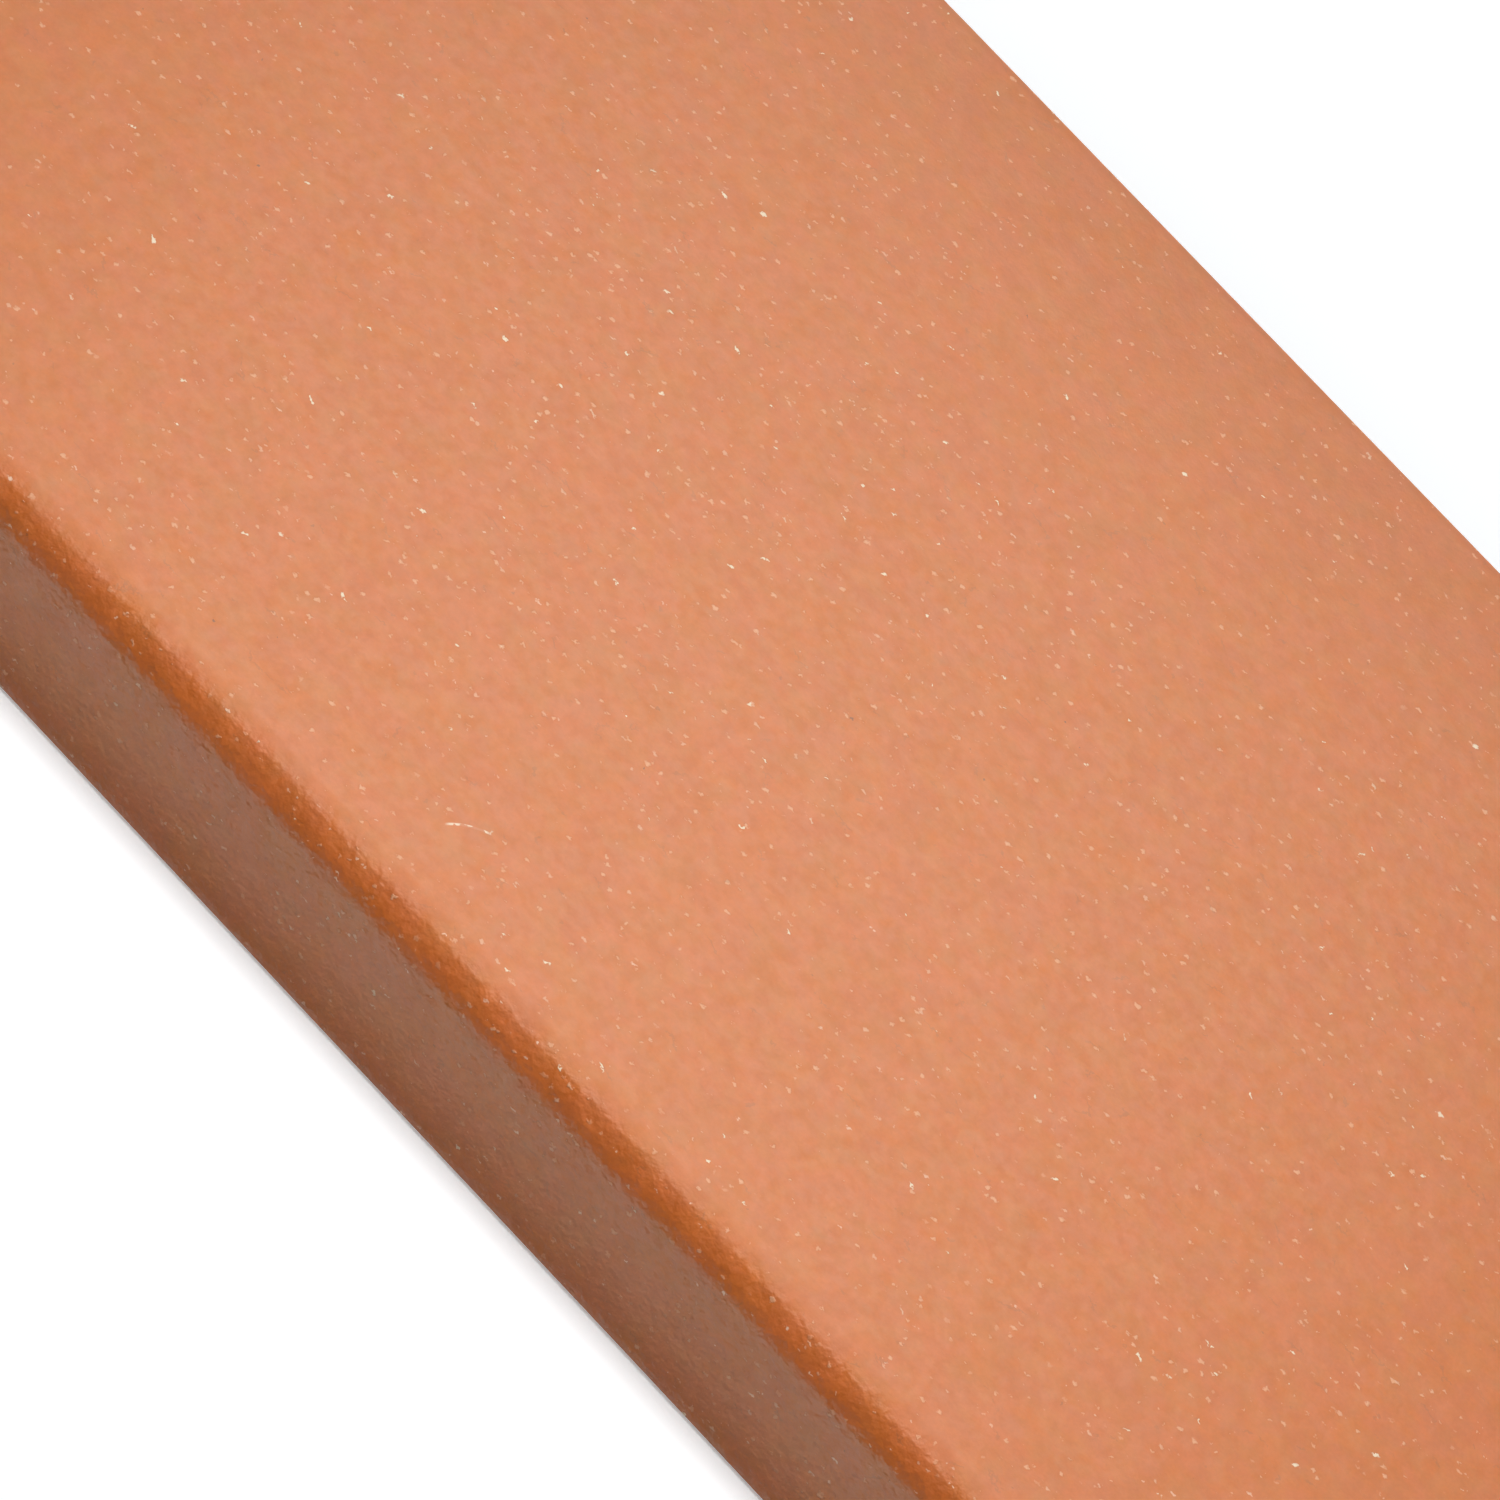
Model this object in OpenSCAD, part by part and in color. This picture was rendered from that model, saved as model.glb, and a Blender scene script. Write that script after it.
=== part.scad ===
// Clay stair tread tile: one piece, extruded along the step and fired, with a rounded nose
// along its front edge. X runs along the step, -Y is the front and +Z is the walking face.
// The origin is at the centre of the bedding face, which lies on Z = 0.

/* [Tile] */
// Length along the step, between the two cut ends
tile_length = 300; // [100:5:600]
// Depth from the front face to the back edge, in the going of the step
tile_depth = 150; // [60:5:400]
// Thickness from the bedding face to the walking face
tile_thickness = 20; // [14:0.5:40]

/* [Edges] */
// Radius of the nose, where the walking face turns down into the front face
nose_r = 4.5; // [1:0.5:12]
// Radius of the arris between the front face and the bedding face
front_foot_r = 0.5; // [0.2:0.1:2]
// Radius of the arris between the walking face and the back edge
back_top_r = 0.8; // [0.2:0.1:2]
// Radius of the arris between the back edge and the bedding face
back_foot_r = 0.5; // [0.2:0.1:2]

/* [Finish] */
// Colour of the fired clay
clay_colour = "#DC926C"; // [#DC926C:Terracotta, #A9563A:Red clay, #D9BC8C:Buff clay]
// Flats that a full circle is drawn with in a preview
arc_steps = 96; // [24:8:192]

/* [Hidden] */
front_y = -tile_depth / 2;
back_y = tile_depth / 2;

// What is trimmed off one square corner of the section to round it.
// The signs in inward point from the corner into the clay.
module corner_trim(corner, inward, r) {
    difference() {
        translate(corner)
            square(2 * r, center = true);
        translate(corner + r * inward)
            circle(r = r, $fn = arc_steps);
    }
}

// The shape of the die, with the tile's depth along x and its height along y
module section() {
    difference() {
        translate([front_y, 0])
            square([tile_depth, tile_thickness]);
        corner_trim([front_y, tile_thickness], [1, -1], nose_r);
        corner_trim([front_y, 0], [1, 1], front_foot_r);
        corner_trim([back_y, tile_thickness], [-1, -1], back_top_r);
        corner_trim([back_y, 0], [-1, 1], back_foot_r);
    }
}

// The section stood upright and run along the step, with both ends cut square
module stair_tread() {
    color(clay_colour)
        translate([-tile_length / 2, 0, 0])
            rotate([90, 0, 90])
                linear_extrude(tile_length)
                    section();
}

stair_tread();
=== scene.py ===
import math

import bpy
import numpy as np
from mathutils import Matrix, Vector, geometry, noise


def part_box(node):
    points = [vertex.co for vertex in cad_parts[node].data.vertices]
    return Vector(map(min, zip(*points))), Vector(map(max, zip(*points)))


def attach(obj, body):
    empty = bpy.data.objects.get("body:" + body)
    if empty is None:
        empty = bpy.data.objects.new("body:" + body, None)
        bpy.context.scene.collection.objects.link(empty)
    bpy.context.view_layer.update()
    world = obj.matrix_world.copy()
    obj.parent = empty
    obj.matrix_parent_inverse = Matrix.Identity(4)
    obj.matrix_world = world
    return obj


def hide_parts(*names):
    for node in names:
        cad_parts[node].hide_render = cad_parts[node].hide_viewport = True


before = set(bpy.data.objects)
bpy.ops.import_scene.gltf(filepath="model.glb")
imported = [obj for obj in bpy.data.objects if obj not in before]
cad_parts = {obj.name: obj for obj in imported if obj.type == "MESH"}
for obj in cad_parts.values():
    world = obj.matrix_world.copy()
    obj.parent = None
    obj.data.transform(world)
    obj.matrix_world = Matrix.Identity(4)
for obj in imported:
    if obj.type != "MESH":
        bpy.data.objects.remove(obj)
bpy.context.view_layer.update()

NODE = "stair_tread"
SLOT = "fired_clay"
MM = 0.001
LOW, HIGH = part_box(NODE)
LENGTH = HIGH.x - LOW.x
FRONT, BACK = LOW.y, HIGH.y
TOP = HIGH.z

# The radii of the section's long edges, as the die forms them
NOSE_R = 4.5 * MM
FRONT_FOOT_R = 0.5 * MM
BACK_TOP_R = 0.8 * MM
BACK_FOOT_R = 0.5 * MM
# How far handling has rounded the cut ends
END_R = 0.35 * MM


# ---------------------------------------------------------------- the tile's mesh

def stretch(start, stop, step):
    """Evenly spaced places from start towards stop, about step apart, without stop itself."""
    count = max(1, round(abs(stop - start) / step))
    return np.linspace(start, stop, count, endpoint=False)


def edge_arc(centre_y, centre_z, radius, start_degrees, pieces):
    """A rounded edge of the section, turning clockwise through 90 degrees: places and outward normals."""
    angles = np.radians(np.linspace(start_degrees, start_degrees - 90, pieces, endpoint=False))
    normals = np.stack([np.cos(angles), np.sin(angles)], 1)
    return np.array([centre_y, centre_z]) + radius * normals, normals


def flat(ys, zs, normal):
    """A flat stretch of the section, with the same outward normal all along."""
    places = np.stack(np.broadcast_arrays(ys, zs), 1).astype(float)
    return places, np.broadcast_to(np.array(normal, float), places.shape)


def section():
    """The tile's outline in (y, z) and its outward normals, from the foot of the front face over the nose."""
    face_step, top_step, back_step, bed_step = 0.9 * MM, 1.05 * MM, 1.4 * MM, 2.4 * MM
    nose_pieces, arris_pieces, front_foot_pieces = 18, 4, 5
    parts = [
        flat(FRONT, stretch(FRONT_FOOT_R, TOP - NOSE_R, face_step), (-1, 0)),
        edge_arc(FRONT + NOSE_R, TOP - NOSE_R, NOSE_R, 180, nose_pieces),
        flat(stretch(FRONT + NOSE_R, BACK - BACK_TOP_R, top_step), TOP, (0, 1)),
        edge_arc(BACK - BACK_TOP_R, TOP - BACK_TOP_R, BACK_TOP_R, 90, arris_pieces),
        flat(BACK, stretch(TOP - BACK_TOP_R, BACK_FOOT_R, back_step), (1, 0)),
        edge_arc(BACK - BACK_FOOT_R, BACK_FOOT_R, BACK_FOOT_R, 0, arris_pieces),
        flat(stretch(BACK - BACK_FOOT_R, FRONT + FRONT_FOOT_R, bed_step), 0.0, (0, -1)),
        edge_arc(FRONT + FRONT_FOOT_R, FRONT_FOOT_R, FRONT_FOOT_R, -90, front_foot_pieces),
    ]
    places, normals = zip(*parts)
    return np.concatenate(places), np.concatenate(normals)


def stations():
    """The rings along the tile: each one's x, how far its outline is drawn in, and the slope of its skin."""
    near_end, body_step, near_step = 5 * MM, 1.05 * MM, 0.5 * MM
    half, round_pieces = LENGTH / 2, 4
    rounds = np.radians(np.linspace(90, 0, round_pieces, endpoint=False))
    left = [(-half + END_R * (1 - math.sin(a)), END_R * (1 - math.cos(a)), a) for a in rounds]
    inner = np.concatenate([
        stretch(-half + END_R, -half + near_end, near_step),
        stretch(-half + near_end, half - near_end, body_step),
        stretch(half - near_end, half - END_R, near_step),
        [half - END_R],
    ])
    middle = [(x, 0.0, 0.0) for x in inner]
    right = [(-x, inset, slope) for x, inset, slope in reversed(left)]
    return left + middle + right


def smooth(value, low, high):
    """0 up to low, 1 from high on, and an S-shaped rise between them."""
    t = np.clip((value - low) / (high - low), 0, 1)
    return t * t * (3 - 2 * t)


def wander(points, size, seed):
    """Soft noise from 0 to 1 over points, with features of a size: one number, or one for each axis."""
    apart = 17.3
    scaled = points / np.broadcast_to(np.array(size, float), (3,)) + seed * apart
    return np.array([0.5 + 0.5 * noise.noise(Vector(p)) for p in scaled])


def hollows(points):
    """Shallow dents that the green clay took while it was handled."""
    rng = np.random.default_rng(41)
    count, share_on_top, reach = 46, 0.7, 2.4 * MM
    centres = np.stack([
        rng.uniform(LOW.x, HIGH.x, count),
        rng.uniform(FRONT, BACK, count),
        np.where(rng.random(count) < share_on_top, TOP, rng.uniform(0, TOP, count)),
    ], 1)
    widths = rng.uniform(0.9, 1.8, count) * MM
    depths = rng.uniform(0.03, 0.09, count) * MM
    dent = np.zeros(len(points))
    for centre, width, depth in zip(centres, widths, depths):
        away = points - centre
        near = np.flatnonzero(np.abs(away).max(1) < reach)
        dent[near] += depth * np.exp(-((away[near] ** 2).sum(1)) / width ** 2)
    return dent


def end_chips(points):
    """How much has crumbled off the edges round the two cut ends."""
    loss, reach, small_share = 0.35 * MM, 1.6 * MM, 0.4
    from_end = LENGTH / 2 - np.abs(points[:, 0])
    from_rim = np.minimum.reduce([
        points[:, 1] - FRONT, BACK - points[:, 1], points[:, 2] - LOW.z, TOP - points[:, 2],
    ])
    near_edge = 1 - smooth(np.hypot(from_end, from_rim), 0, reach)
    # one pattern at each end, the same at every distance from it
    along = points.copy()
    along[:, 0] = np.sign(points[:, 0])
    large = smooth(wander(along, 5 * MM, 5), 0.5, 0.85)
    small = smooth(wander(along, 1.6 * MM, 6), 0.55, 0.9)
    return loss * near_edge * (large + small_share * small)


def relief(points, normals):
    """How far the clay's skin lies inside its nominal shape, in metres."""
    on_bed = np.clip(-normals[:, 2], 0, 1)
    on_end = np.abs(normals[:, 0])
    warp = 0.10 * MM * wander(points, 85 * MM, 1) + 0.05 * MM * wander(points, 24 * MM, 2)
    ripple = 0.03 * MM * wander(points, (16 * MM, 6 * MM, 6 * MM), 3)
    die_lines = 0.16 * MM * on_bed * wander(points, (140 * MM, 3.2 * MM, 3.2 * MM), 4)
    wire_marks = 0.14 * MM * on_end * wander(points, (9 * MM, 45 * MM, 2.2 * MM), 7)
    return warp + ripple + die_lines + wire_marks + hollows(points) + end_chips(points)


def cap(rim):
    """Triangles that close one cut end: the rim's points, a lattice inside it, and the faces between them."""
    step, margin = 1.1 * MM, 0.6 * MM
    low, high = rim.min(0), rim.max(0)
    ys = np.arange(low[0] + margin, high[0] - margin, step)
    zs = np.arange(low[1] + margin, high[1] - margin, step)
    lattice = np.array([(y, z) for z in zs for y in ys])
    closed = np.vstack([rim, rim[:1]])
    nearest = np.array([np.hypot(*(closed - p).T).min() for p in lattice])
    lattice = lattice[nearest > margin]
    points = [Vector(p) for p in np.vstack([rim, lattice])]
    ring = list(range(len(rim)))
    edges = [(i, (i + 1) % len(rim)) for i in ring]
    inside_only, merge_distance = 1, 1e-9
    out = geometry.delaunay_2d_cdt(points, edges, [ring], inside_only, merge_distance)
    cap_points, _, cap_faces, origins = out[:4]
    return np.array([tuple(p) for p in cap_points]), [tuple(face) for face in cap_faces], origins


def swept_skin(outline, outward, rings):
    """The skin between the two cut ends, ring after ring: places, outward normals and faces."""
    count = len(outline)
    points, normals, faces = [], [], []
    for x, inset, slope in rings:
        points.append(np.column_stack([np.full(count, x), outline - outward * inset]))
        lean = math.copysign(math.sin(slope), x) if slope else 0.0
        normals.append(np.column_stack([np.full(count, lean), outward * math.cos(slope)]))
    for ring in range(len(rings) - 1):
        a, b = ring * count, (ring + 1) * count
        faces += [(a + i, b + i, b + (i + 1) % count, a + (i + 1) % count) for i in range(count)]
    return np.concatenate(points), np.concatenate(normals), faces


def close_end(points, normals, faces, rim, side):
    """The skin with one more end closed. rim has the numbers of that end's ring of points, and side is -1 for
    the end that faces -X and 1 for the other."""
    cap_points, cap_faces, origins = cap(points[rim, 1:])
    number, added = {}, []
    for i, source in enumerate(origins):
        on_rim = [s for s in source if s < len(rim)]
        if on_rim:
            number[i] = rim[on_rim[0]]
        else:
            number[i] = len(points) + len(added)
            added.append((side * LENGTH / 2, *cap_points[i]))
    points = np.vstack([points, added])
    normals = np.vstack([normals, np.tile([side, 0, 0], (len(added), 1))])
    facing_out = [face if side > 0 else face[::-1] for face in cap_faces]
    return points, normals, faces + [tuple(number[i] for i in face) for face in facing_out]


def tile_mesh():
    """The whole tile as one closed skin, with its relief pressed in."""
    outline, outward = section()
    rings = stations()
    points, normals, faces = swept_skin(outline, outward, rings)
    count = len(outline)
    last_ring = (len(rings) - 1) * count
    for side, first in ((-1, 0), (1, last_ring)):
        rim = range(first, first + count)
        points, normals, faces = close_end(points, normals, faces, rim, side)
    points = points - normals * relief(points, normals)[:, None]
    mesh = bpy.data.meshes.new("tread_tile")
    mesh.from_pydata(points.tolist(), [], faces)
    mesh.validate()
    mesh.shade_smooth()
    marks = {"cut_end": np.abs(normals[:, 0]), "bed": -normals[:, 2], "walked": normals[:, 2]}
    for name, amount in marks.items():
        mark = mesh.attributes.new(name, "FLOAT", "POINT")
        mark.data.foreach_set("value", np.clip(amount, 0, 1).astype(np.float32))
    return mesh


# ---------------------------------------------------------------- materials

class Graph:
    """A short way to write a node tree: add returns the node that it makes, and the other calls outputs."""

    def __init__(self, tree):
        self.nodes = tree.nodes
        self.links = tree.links
        self.nodes.clear()

    def add(self, kind, inputs=(), **settings):
        node = self.nodes.new(kind)
        for name, value in settings.items():
            setattr(node, name, value)
        for key, value in dict(inputs).items():
            socket = node.inputs[key]
            if isinstance(value, bpy.types.NodeSocket):
                self.links.new(value, socket)
            else:
                socket.default_value = value
        return node

    def math(self, operation, a, b=0.0, c=0.0):
        return self.add("ShaderNodeMath", {0: a, 1: b, 2: c}, operation=operation).outputs[0]

    def total(self, *values):
        result = values[0]
        for value in values[1:]:
            result = self.math("ADD", result, value)
        return result

    def product(self, *values):
        result = values[0]
        for value in values[1:]:
            result = self.math("MULTIPLY", result, value)
        return result

    def largest(self, *values):
        result = values[0]
        for value in values[1:]:
            result = self.math("MAXIMUM", result, value)
        return result

    def vector(self, operation, a, b):
        return self.add("ShaderNodeVectorMath", {0: a, 1: b}, operation=operation).outputs[0]

    def distance(self, a, b):
        return self.add("ShaderNodeVectorMath", {0: a, 1: b}, operation="DISTANCE").outputs["Value"]

    def split(self, vector):
        return self.add("ShaderNodeSeparateXYZ", {0: vector}).outputs

    def mark(self, name):
        return self.add("ShaderNodeAttribute", attribute_name=name).outputs["Fac"]

    def noise(self, vector, size, detail=2.0, roughness=0.5):
        inputs = {"Vector": vector, "Scale": 1 / size, "Detail": detail, "Roughness": roughness}
        return self.add("ShaderNodeTexNoise", inputs).outputs["Fac"]

    def ramp(self, value, low, high, out_low=0.0, out_high=1.0):
        inputs = {"Value": value, "From Min": low, "From Max": high, "To Min": out_low, "To Max": out_high}
        return self.add("ShaderNodeMapRange", inputs, interpolation_type="SMOOTHSTEP").outputs["Result"]

    def grey(self, value):
        return self.add("ShaderNodeCombineColor", {0: value, 1: value, 2: value}).outputs[0]

    def blend(self, factor, a, b, mode="MIX"):
        node = self.add("ShaderNodeMix", {"Factor": factor}, data_type="RGBA", blend_type=mode)
        inputs = [socket for socket in node.inputs if socket.type == "RGBA"]
        for socket, value in zip(inputs, (a, b)):
            if isinstance(value, bpy.types.NodeSocket):
                self.links.new(value, socket)
            else:
                socket.default_value = (*value, 1)
        return [socket for socket in node.outputs if socket.type == "RGBA"][0]


def new_material(name):
    material = bpy.data.materials.new(name)
    material.use_nodes = True
    return material, Graph(material.node_tree)


def scattered(g, coords, seed, stretched, turn=0.0):
    """One kind of mark's own coordinates: they draw it out along the tile and turn it, in radians."""
    apart = (31.0, 17.0, 9.0)
    return g.add("ShaderNodeMapping", {
        "Vector": coords,
        "Location": [seed * step for step in apart],
        "Rotation": (0, 0, turn),
        "Scale": (stretched, 1, 1),
    }, vector_type="TEXTURE").outputs[0]


def grains(g, coords, seed, cell, radius, share, stretched, turn, softness=0.45):
    """Grains in the clay, cut by its skin: 1 inside a grain. They sit in cells of a size, share of the cells
    has one, and radius is the largest grain's."""
    smallest, faintest = 0.35, 0.4
    placed = scattered(g, coords, seed, stretched, turn)
    cells = g.add("ShaderNodeTexVoronoi", {"Vector": placed, "Scale": 1 / cell})
    pick = g.add("ShaderNodeSeparateColor", {0: cells.outputs["Color"]}).outputs
    kept = g.math("GREATER_THAN", pick[0], g.math("SUBTRACT", 1.0, share))
    largest = radius / cell
    reach = g.math("MULTIPLY_ADD", pick[1], (1 - smallest) * largest, smallest * largest)
    inside = g.math("DIVIDE", cells.outputs["Distance"], reach)
    strength = g.math("MULTIPLY_ADD", pick[2], 1 - faintest, faintest)
    return g.product(g.ramp(inside, 1.0, 1 - softness), kept, strength)


def hairlines(g, coords, seed, cell, width):
    """Short curved drag marks: the seams between long cells, let through only here and there."""
    placed = scattered(g, coords, seed, stretched=2.0)
    inputs = {"Vector": placed, "Scale": 1 / cell}
    seams = g.add("ShaderNodeTexVoronoi", inputs, feature="DISTANCE_TO_EDGE")
    line = g.ramp(seams.outputs["Distance"], width / cell, 0.3 * width / cell)
    shown = g.ramp(g.noise(placed, cell * 0.45, 1.0), 0.60, 0.68)
    return g.product(line, shown)


def scrape(g, mm, x, y, turn, length, width, bow):
    """One shallow curved scrape on the walking face, centred at (x, y) and turned turn degrees from +X."""
    placed = g.add("ShaderNodeMapping", {
        "Vector": mm,
        "Location": (x, y, TOP / MM),
        "Rotation": (0, 0, math.radians(turn)),
    }, vector_type="TEXTURE").outputs[0]
    along, across, deep = g.split(placed)
    off = g.math("ABSOLUTE", g.math("SUBTRACT", across, g.product(along, along, bow)))
    line = g.ramp(off, width, 0.35 * width)
    ends = g.ramp(g.math("ABSOLUTE", along), length / 2, 0.35 * length)
    broken = g.ramp(g.noise(mm, 0.7, 1.0), 0.45, 0.55, 0.1, 1.0)
    on_top = g.math("GREATER_THAN", deep, -1.0)
    return g.product(line, ends, broken, on_top)


def clay_body(g, mm, walked):
    """The clay's colour: close tones in patches and a fine dapple, with painted light (a redder, brighter
    band) on the mid-nose and painted shade towards the back edge.
    """
    orange, pink = (0.600, 0.153, 0.024), (0.612, 0.157, 0.034)
    pale, rosy = (0.590, 0.177, 0.044), (0.616, 0.159, 0.053)
    # painted light: a redder, brighter colour on the mid-nose that stands in for light the lamps don't give
    # there
    painted_nose_light, painted_nose_share = (0.720, 0.165, 0.028), 0.5
    # painted shade towards the back edge: how wide the band is in mm, and how dark it gets
    painted_shade_width, painted_back_shade = 34, 0.94
    wide = g.ramp(g.noise(mm, 16, 3.0, 0.55), 0.35, 0.65, 0.0, 0.8)
    small = g.ramp(g.noise(mm, 3.0, 5.0, 0.58), 0.36, 0.64, 0.0, 0.80)
    flush = g.ramp(g.noise(mm, 4.3, 4.0, 0.58), 0.38, 0.64, 0.0, 0.60)
    colour = g.blend(flush, g.blend(small, g.blend(wide, orange, pink), pale), rosy)
    # where the painted light lies: the middle of the nose's curve
    painted_nose_mask = g.product(g.ramp(walked, 0.0, 0.30), g.ramp(walked, 0.90, 0.68))
    colour = g.blend(g.product(painted_nose_mask, painted_nose_share), colour, painted_nose_light)
    dapple = g.ramp(g.noise(mm, 0.50, 2.0, 0.6), 0.2, 0.8, 0.965, 1.035)
    cloud = g.ramp(g.noise(mm, 2.6, 3.0, 0.6), 0.3, 0.7, 0.950, 1.050)
    # painted shade: the colour darkens towards the back edge, in place of the light falling off there
    back = g.ramp(g.split(mm)[1], BACK / MM - painted_shade_width, BACK / MM, 1.0, painted_back_shade)
    return g.blend(1.0, colour, g.grey(g.product(dapple, cloud, back)), "MULTIPLY")


def crowding(g, mm):
    """How thickly the grog lies: in patches, and more of it round one pocket of the walking face."""
    pocket, core, edge, extra = (-28, 0, TOP / MM), 20, 62, 0.5
    patches = g.ramp(g.noise(mm, 18, 2.0), 0.38, 0.62, 0.15, 0.75)
    return g.total(patches, g.ramp(g.distance(mm, pocket), edge, core, 0.0, extra))


def clay_marks(g, mm, unwiped):
    """The grog, the specks and the marks on the skin: 1 where each kind is."""
    # places shaken a little, so that no grain has an even outline
    jitter_scale, jitter = 2.4, 0.75
    drift = g.add("ShaderNodeTexNoise", {"Vector": mm, "Scale": jitter_scale, "Detail": 1.0}).outputs["Color"]
    shift = g.vector("MULTIPLY", g.vector("SUBTRACT", drift, (0.5, 0.5, 0.5)), (jitter, jitter, jitter))
    ragged = g.vector("ADD", mm, shift)
    crowd = crowding(g, mm)
    many, most = g.math("MULTIPLY_ADD", crowd, 0.4, 0.40), g.product(crowd, 0.90)
    some, few = g.product(crowd, 0.55), g.product(crowd, 0.5)
    on_front = g.product(unwiped, 0.75)
    kinds = {
        "smudge": dict(seed=8, cell=4.0, radius=1.1, share=0.55, stretched=1.3, turn=0.5, softness=1.0),
        "faint": dict(seed=1, cell=1.1, radius=0.34, share=many, stretched=1.4, turn=0.25, softness=0.5),
        "streak": dict(seed=9, cell=1.1, radius=0.20, share=on_front, stretched=2.6, turn=0.1),
        "cream": dict(seed=2, cell=1.5, radius=0.27, share=most, stretched=1.8, turn=-0.1),
        "bright_a": dict(seed=3, cell=2.3, radius=0.27, share=some, stretched=2.0, turn=0.6, softness=0.4),
        "bright_b": dict(seed=4, cell=2.3, radius=0.24, share=some, stretched=3.0, turn=-0.5, softness=0.4),
        "coarse": dict(seed=7, cell=6.0, radius=0.42, share=few, stretched=1.5, turn=0.2, softness=0.5),
        "dark": dict(seed=5, cell=3.6, radius=0.26, share=0.50, stretched=1.0, turn=0.0),
    }
    marks = {name: grains(g, ragged, **kind) for name, kind in kinds.items()}
    marks["bright"] = g.largest(marks["bright_a"], marks["bright_b"], marks["coarse"])
    marks["drag"] = hairlines(g, ragged, seed=6, cell=4.0, width=0.11)
    marks["scar"] = scrape(g, mm, x=-10.6, y=FRONT / MM + 14.0, turn=45, length=5.2, width=0.2, bow=-0.06)
    return marks


def clay_relief(g, mm, unwiped, cut_end, marks):
    """The fine relief's height in mm: lumps, most of them wiped off the walking face, grit and proud grog."""
    lumps = g.product(g.noise(mm, 1.7, 3.0, 0.5), unwiped, 0.25)
    swells = g.product(g.noise(mm, 3.2, 1.0), g.math("MULTIPLY_ADD", unwiped, 0.7, 0.3), 0.16)
    knobs = g.product(g.noise(mm, 0.85, 2.0, 0.5), unwiped, 0.10)
    grit = g.product(g.noise(mm, 0.30, 2.0, 0.6), g.math("MULTIPLY_ADD", unwiped, 0.010, 0.0058))
    grog = g.total(marks["faint"], marks["cream"], marks["bright"])
    proud = g.product(grog, g.math("MULTIPLY_ADD", unwiped, 0.030, 0.0214))
    torn = g.product(cut_end, g.noise(mm, 0.9, 4.0, 0.7), 0.35)
    return g.total(lumps, swells, knobs, grit, proud, torn)


def clay_material():
    """Unglazed extruded clay: an orange body with a pink cast, pale grog, a fine relief and a faint sheen."""
    material, g = new_material(SLOT)
    place = g.add("ShaderNodeTexCoord").outputs["Object"]
    mm = g.vector("MULTIPLY", place, (1 / MM, 1 / MM, 1 / MM))
    cut_end, bed, walked = g.mark("cut_end"), g.mark("bed"), g.mark("walked")
    # 1 where the skin is as it left the die, and little where the walking face was wiped
    unwiped = g.ramp(walked, 0.80, 1.0, 1.0, 0.12)
    marks = clay_marks(g, mm, unwiped)
    # each kind of mark's strength and colour, from the lowest to the topmost
    tints = {
        "smudge": (0.25, (0.46, 0.20, 0.09)),
        "faint": (0.75, (0.85, 0.43, 0.24)),
        "streak": (0.85, (0.90, 0.60, 0.43)),
        "cream": (0.80, (0.93, 0.58, 0.39)),
        "bright": (0.95, (0.96, 0.80, 0.58)),
        "dark": (0.7, (0.13, 0.07, 0.045)),
        "drag": (0.32, (0.33, 0.12, 0.05)),
        "scar": (0.9, (0.95, 0.76, 0.57)),
    }
    colour = clay_body(g, mm, walked)
    for kind, (strength, tint) in tints.items():
        colour = g.blend(g.product(marks[kind], strength), colour, tint)
    sawn, dusty = (0.60, 0.225, 0.09), (0.72, 0.46, 0.30)
    dust = g.ramp(g.noise(mm, 3.0, 4.0, 0.65), 0.40, 0.75)
    colour = g.blend(g.product(cut_end, 0.5), colour, sawn)
    colour = g.blend(g.product(bed, dust, 0.45), colour, dusty)

    height = clay_relief(g, mm, unwiped, cut_end, marks)
    bump = g.add("ShaderNodeBump", {"Height": height, "Distance": 1 * MM}).outputs["Normal"]
    patches = g.ramp(g.noise(mm, 1.2, 2.0), 0.3, 0.7, 0.36, 0.46)
    roughness = g.total(patches, g.product(unwiped, -0.07), g.product(cut_end, 0.30), g.product(bed, 0.20))
    shader = g.add("ShaderNodeBsdfPrincipled", {
        "Base Color": colour,
        "Roughness": roughness,
        "IOR": 1.6,
        "Specular Tint": (1.0, 1.0, 0.85, 1.0),
        "Normal": bump,
    })
    g.add("ShaderNodeOutputMaterial", {"Surface": shader.outputs[0]})
    return material


def seen_directly(g):
    """1 for what the camera sees, straight or in gloss or glass, and 0 for the light that falls on things."""
    path = g.add("ShaderNodeLightPath").outputs
    return g.largest(path["Is Camera Ray"], path["Is Glossy Ray"], path["Is Transmission Ray"])


def paper_material():
    """White paper: it takes the tile's soft shadow, lights the tile from below, and is seen white far out."""
    material, g = new_material("studio_paper")
    paper, seen_paper = (0.5, 0.5, 0.5), (0.90, 0.94, 0.96)
    glow, full_glow, glow_from, glow_to = 0.27, 1.0, 0.12, 0.45
    tooth_size, tooth_depth = 4 * MM, 0.1 * MM
    seen = seen_directly(g)
    place = g.add("ShaderNodeTexCoord").outputs["Object"]
    far_out = g.distance(place, (0, FRONT, 0))
    glowing = g.ramp(far_out, glow_from, glow_to, glow, full_glow)
    tooth = {"Height": g.noise(place, tooth_size, 2.0), "Strength": 0.05, "Distance": tooth_depth}
    bump = g.add("ShaderNodeBump", tooth).outputs[0]
    lit = g.add("ShaderNodeBsdfDiffuse", {"Color": g.blend(seen, paper, seen_paper), "Normal": bump})
    lifted = g.add("ShaderNodeEmission", {"Strength": g.math("MULTIPLY", seen, glowing)})
    shader = g.add("ShaderNodeAddShader", {0: lit.outputs[0], 1: lifted.outputs[0]})
    g.add("ShaderNodeOutputMaterial", {"Surface": shader.outputs[0]})
    return material


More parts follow.
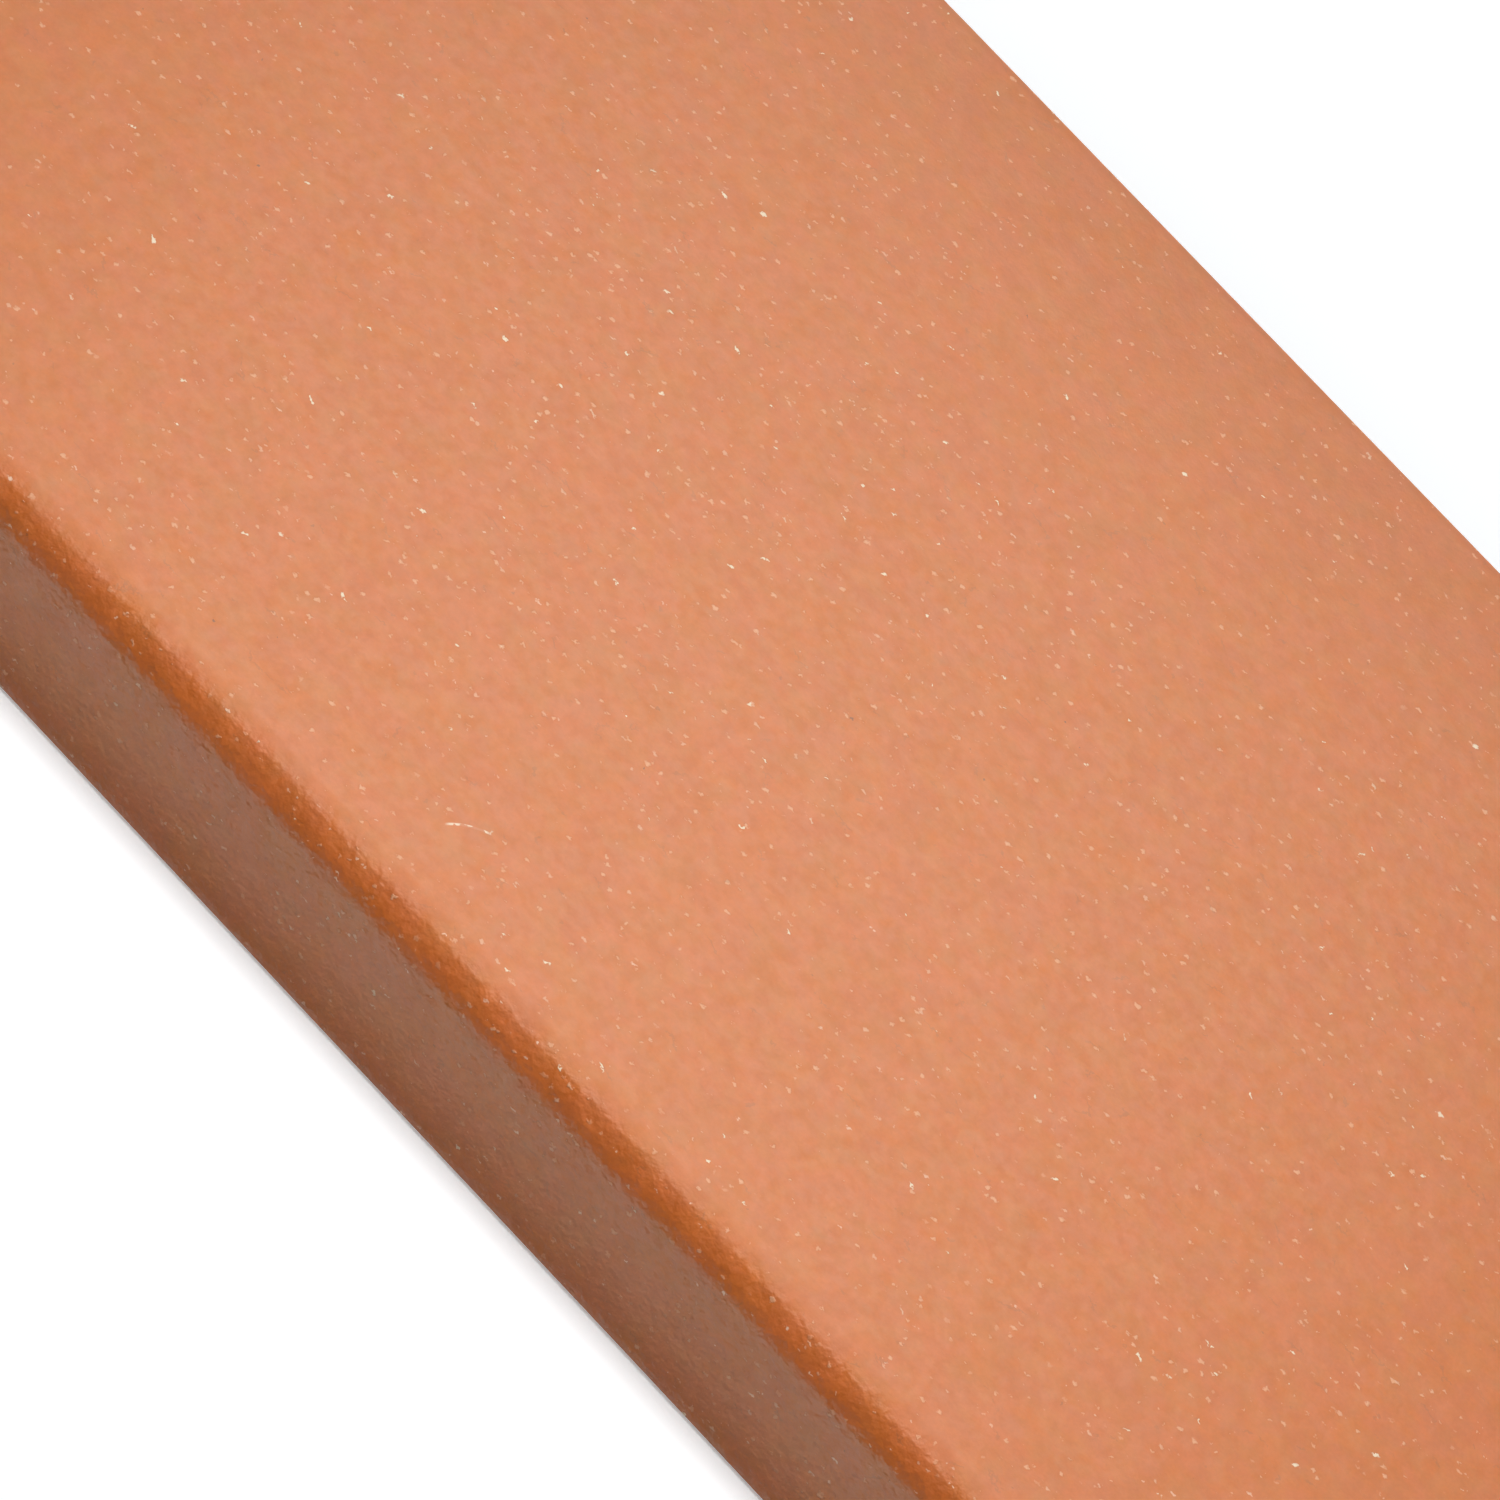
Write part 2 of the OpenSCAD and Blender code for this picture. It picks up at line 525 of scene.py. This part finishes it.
def card_material(name, near, far):
    """A card that shines, near at the tile's foot and far from 11 mm out; at 0 it is black. The weaker glow
    near the foot is painted shadow, the floor's contact shade as the gloss sees it.
    """
    material, g = new_material(name)
    fade = 11 * MM
    y = g.split(g.add("ShaderNodeTexCoord").outputs["Object"])[1]
    shader = g.add("ShaderNodeEmission", {"Strength": g.ramp(y, FRONT - fade, FRONT, far, near)})
    g.add("ShaderNodeOutputMaterial", {"Surface": shader.outputs[0]})
    return material


# ---------------------------------------------------------------- the studio

def look_at(eye, target, roll=0.0):
    """A placement at eye that looks at target, rolled clockwise as seen by the camera."""
    forward = (target - eye).normalized()
    right = forward.cross(Vector((0, 0, 1))).normalized()
    up = right.cross(forward)
    turned_right = right * math.cos(roll) + up * math.sin(roll)
    turned_up = up * math.cos(roll) - right * math.sin(roll)
    axes = Matrix((turned_right, turned_up, -forward)).transposed()
    return Matrix.Translation(eye) @ axes.to_4x4()


def around(target, side, height, distance):
    """The point at distance from target, height degrees up and side degrees round from the front to +X."""
    turn, rise = math.radians(side), math.radians(height)
    level = math.cos(rise)
    return target + distance * Vector((math.sin(turn) * level, -math.cos(turn) * level, math.sin(rise)))


def add_camera():
    """Over the front edge, looking down on it and turned so that the nose runs from corner to corner."""
    behind_nose, side, height, distance, roll = 48.7 * MM, 8.95, 44.45, 0.786, 40.16
    target = Vector((0, FRONT + behind_nose, TOP))
    lens = bpy.data.cameras.new("camera")
    lens.lens = 192
    lens.sensor_width = 36
    lens.clip_start = 0.01
    camera = bpy.data.objects.new("camera", lens)
    eye = around(target, side, height, distance)
    camera.matrix_world = look_at(eye, target, math.radians(roll))
    bpy.context.scene.collection.objects.link(camera)
    bpy.context.scene.camera = camera


def add_softbox(name, height, distance, depth, watts, side=0, left=0.0, lights="diffuse"):
    """A softbox aimed just behind the nose, left of the middle, from height degrees up and side degrees round
    from the front. It lights only the diffuse or only the gloss."""
    width_share, behind_nose = 0.65, 10 * MM
    target = Vector((-left, FRONT + behind_nose, TOP))
    light = bpy.data.lights.new(name, "AREA")
    light.shape = "RECTANGLE"
    light.size, light.size_y = width_share * distance, depth
    light.energy = watts
    lamp = bpy.data.objects.new(name, light)
    lamp.matrix_world = look_at(around(target, side, height, distance), target)
    lamp.visible_diffuse = lights == "diffuse"
    lamp.visible_glossy = lights == "gloss"
    bpy.context.scene.collection.objects.link(lamp)


def add_lights():
    """Soft light from above and all round, and the sheen's own lamps in a row from the nose to the back."""
    add_softbox("top_light", height=90.7, distance=0.60, depth=0.195, watts=2.73, left=-20 * MM)
    add_softbox("front_light", height=45, distance=0.55, depth=0.18, watts=0.50)
    sides = {"left_light": -90, "right_light": 90, "back_light": 180}
    for name, side in sides.items():
        add_softbox(name, height=15, distance=0.60, depth=0.15, watts=0.24, side=side)
    sheens = {"front_sheen": (76, 0.06), "top_sheen": (111, 0.310), "back_sheen": (137, 0.402)}
    for name, (height, watts) in sheens.items():
        add_softbox(name, height, distance=0.40, depth=0.21, watts=watts, left=48 * MM, lights="gloss")


def add_sheet(name, corner, across, up, material):
    """A flat sheet from a corner along two edges."""
    corner, across, up = Vector(corner), Vector(across), Vector(up)
    mesh = bpy.data.meshes.new(name)
    mesh.from_pydata([corner, corner + across, corner + across + up, corner + up], [], [(0, 1, 2, 3)])
    mesh.materials.append(material)
    sheet = bpy.data.objects.new(name, mesh)
    bpy.context.scene.collection.objects.link(sheet)
    return sheet


def add_card(name, corner, across, up, material):
    """A card in front of the tile that only shows in its gloss."""
    card = add_sheet(name, corner, across, up, material)
    card.visible_camera = False
    card.visible_diffuse = False
    card.visible_shadow = False
    card.visible_transmission = False


def add_cards():
    """Two cards just in front of the tile, which shape the sheen on its nose and its front face: the lit one
    is a painted reflection of bright floor, and the unlit one a black sheet of painted shade for the dark
    room in front.
    """
    half_width, unlit_height, lit_lift, unlit_lift = 0.6, 96 * MM, 0.5 * MM, 1 * MM
    near, far = FRONT - 0.5 * MM, FRONT - 29 * MM
    across = (2 * half_width, 0, 0)
    # the lit card: a painted reflection of bright floor, its glow weaker at the foot as painted shadow
    lit_card = card_material("lit_card", near=0.36, far=1.58)
    # the unlit card: a black sheet seen only in gloss, painted shade for the dark room in front
    unlit_card = card_material("unlit_card", near=0.0, far=0.0)
    add_card("lit_card", (-half_width, far, lit_lift), across, (0, near - far, 0), lit_card)
    add_card("unlit_card", (-half_width, far - 1 * MM, unlit_lift), across, (0, 0, unlit_height), unlit_card)


def add_room():
    """A room that is seen white, and throws only a little light of its own."""
    fill, seen_white = 0.02, 1.0
    world = bpy.data.worlds.new("room")
    world.use_nodes = True
    bpy.context.scene.world = world
    g = Graph(world.node_tree)
    strength = g.ramp(seen_directly(g), 0.0, 1.0, fill, seen_white)
    room = g.add("ShaderNodeBackground", {"Color": (1, 1, 1, 1), "Strength": strength})
    g.add("ShaderNodeOutputWorld", {"Surface": room.outputs[0]})


def add_floor():
    """White paper under the tile."""
    half = 3.0
    add_sheet("floor", (-half, -half, 0), (2 * half, 0, 0), (0, 2 * half, 0), paper_material())


add_camera()
add_lights()
add_floor()
add_cards()
add_room()

tile = bpy.data.objects.new("tread_tile", tile_mesh())
tile.data.materials.append(clay_material())
bpy.context.scene.collection.objects.link(tile)
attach(tile, "root")
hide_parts(NODE)
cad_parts[NODE].data.materials.clear()
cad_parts[NODE].data.materials.append(tile.data.materials[0])

bpy.context.scene.view_settings.view_transform = "Standard"
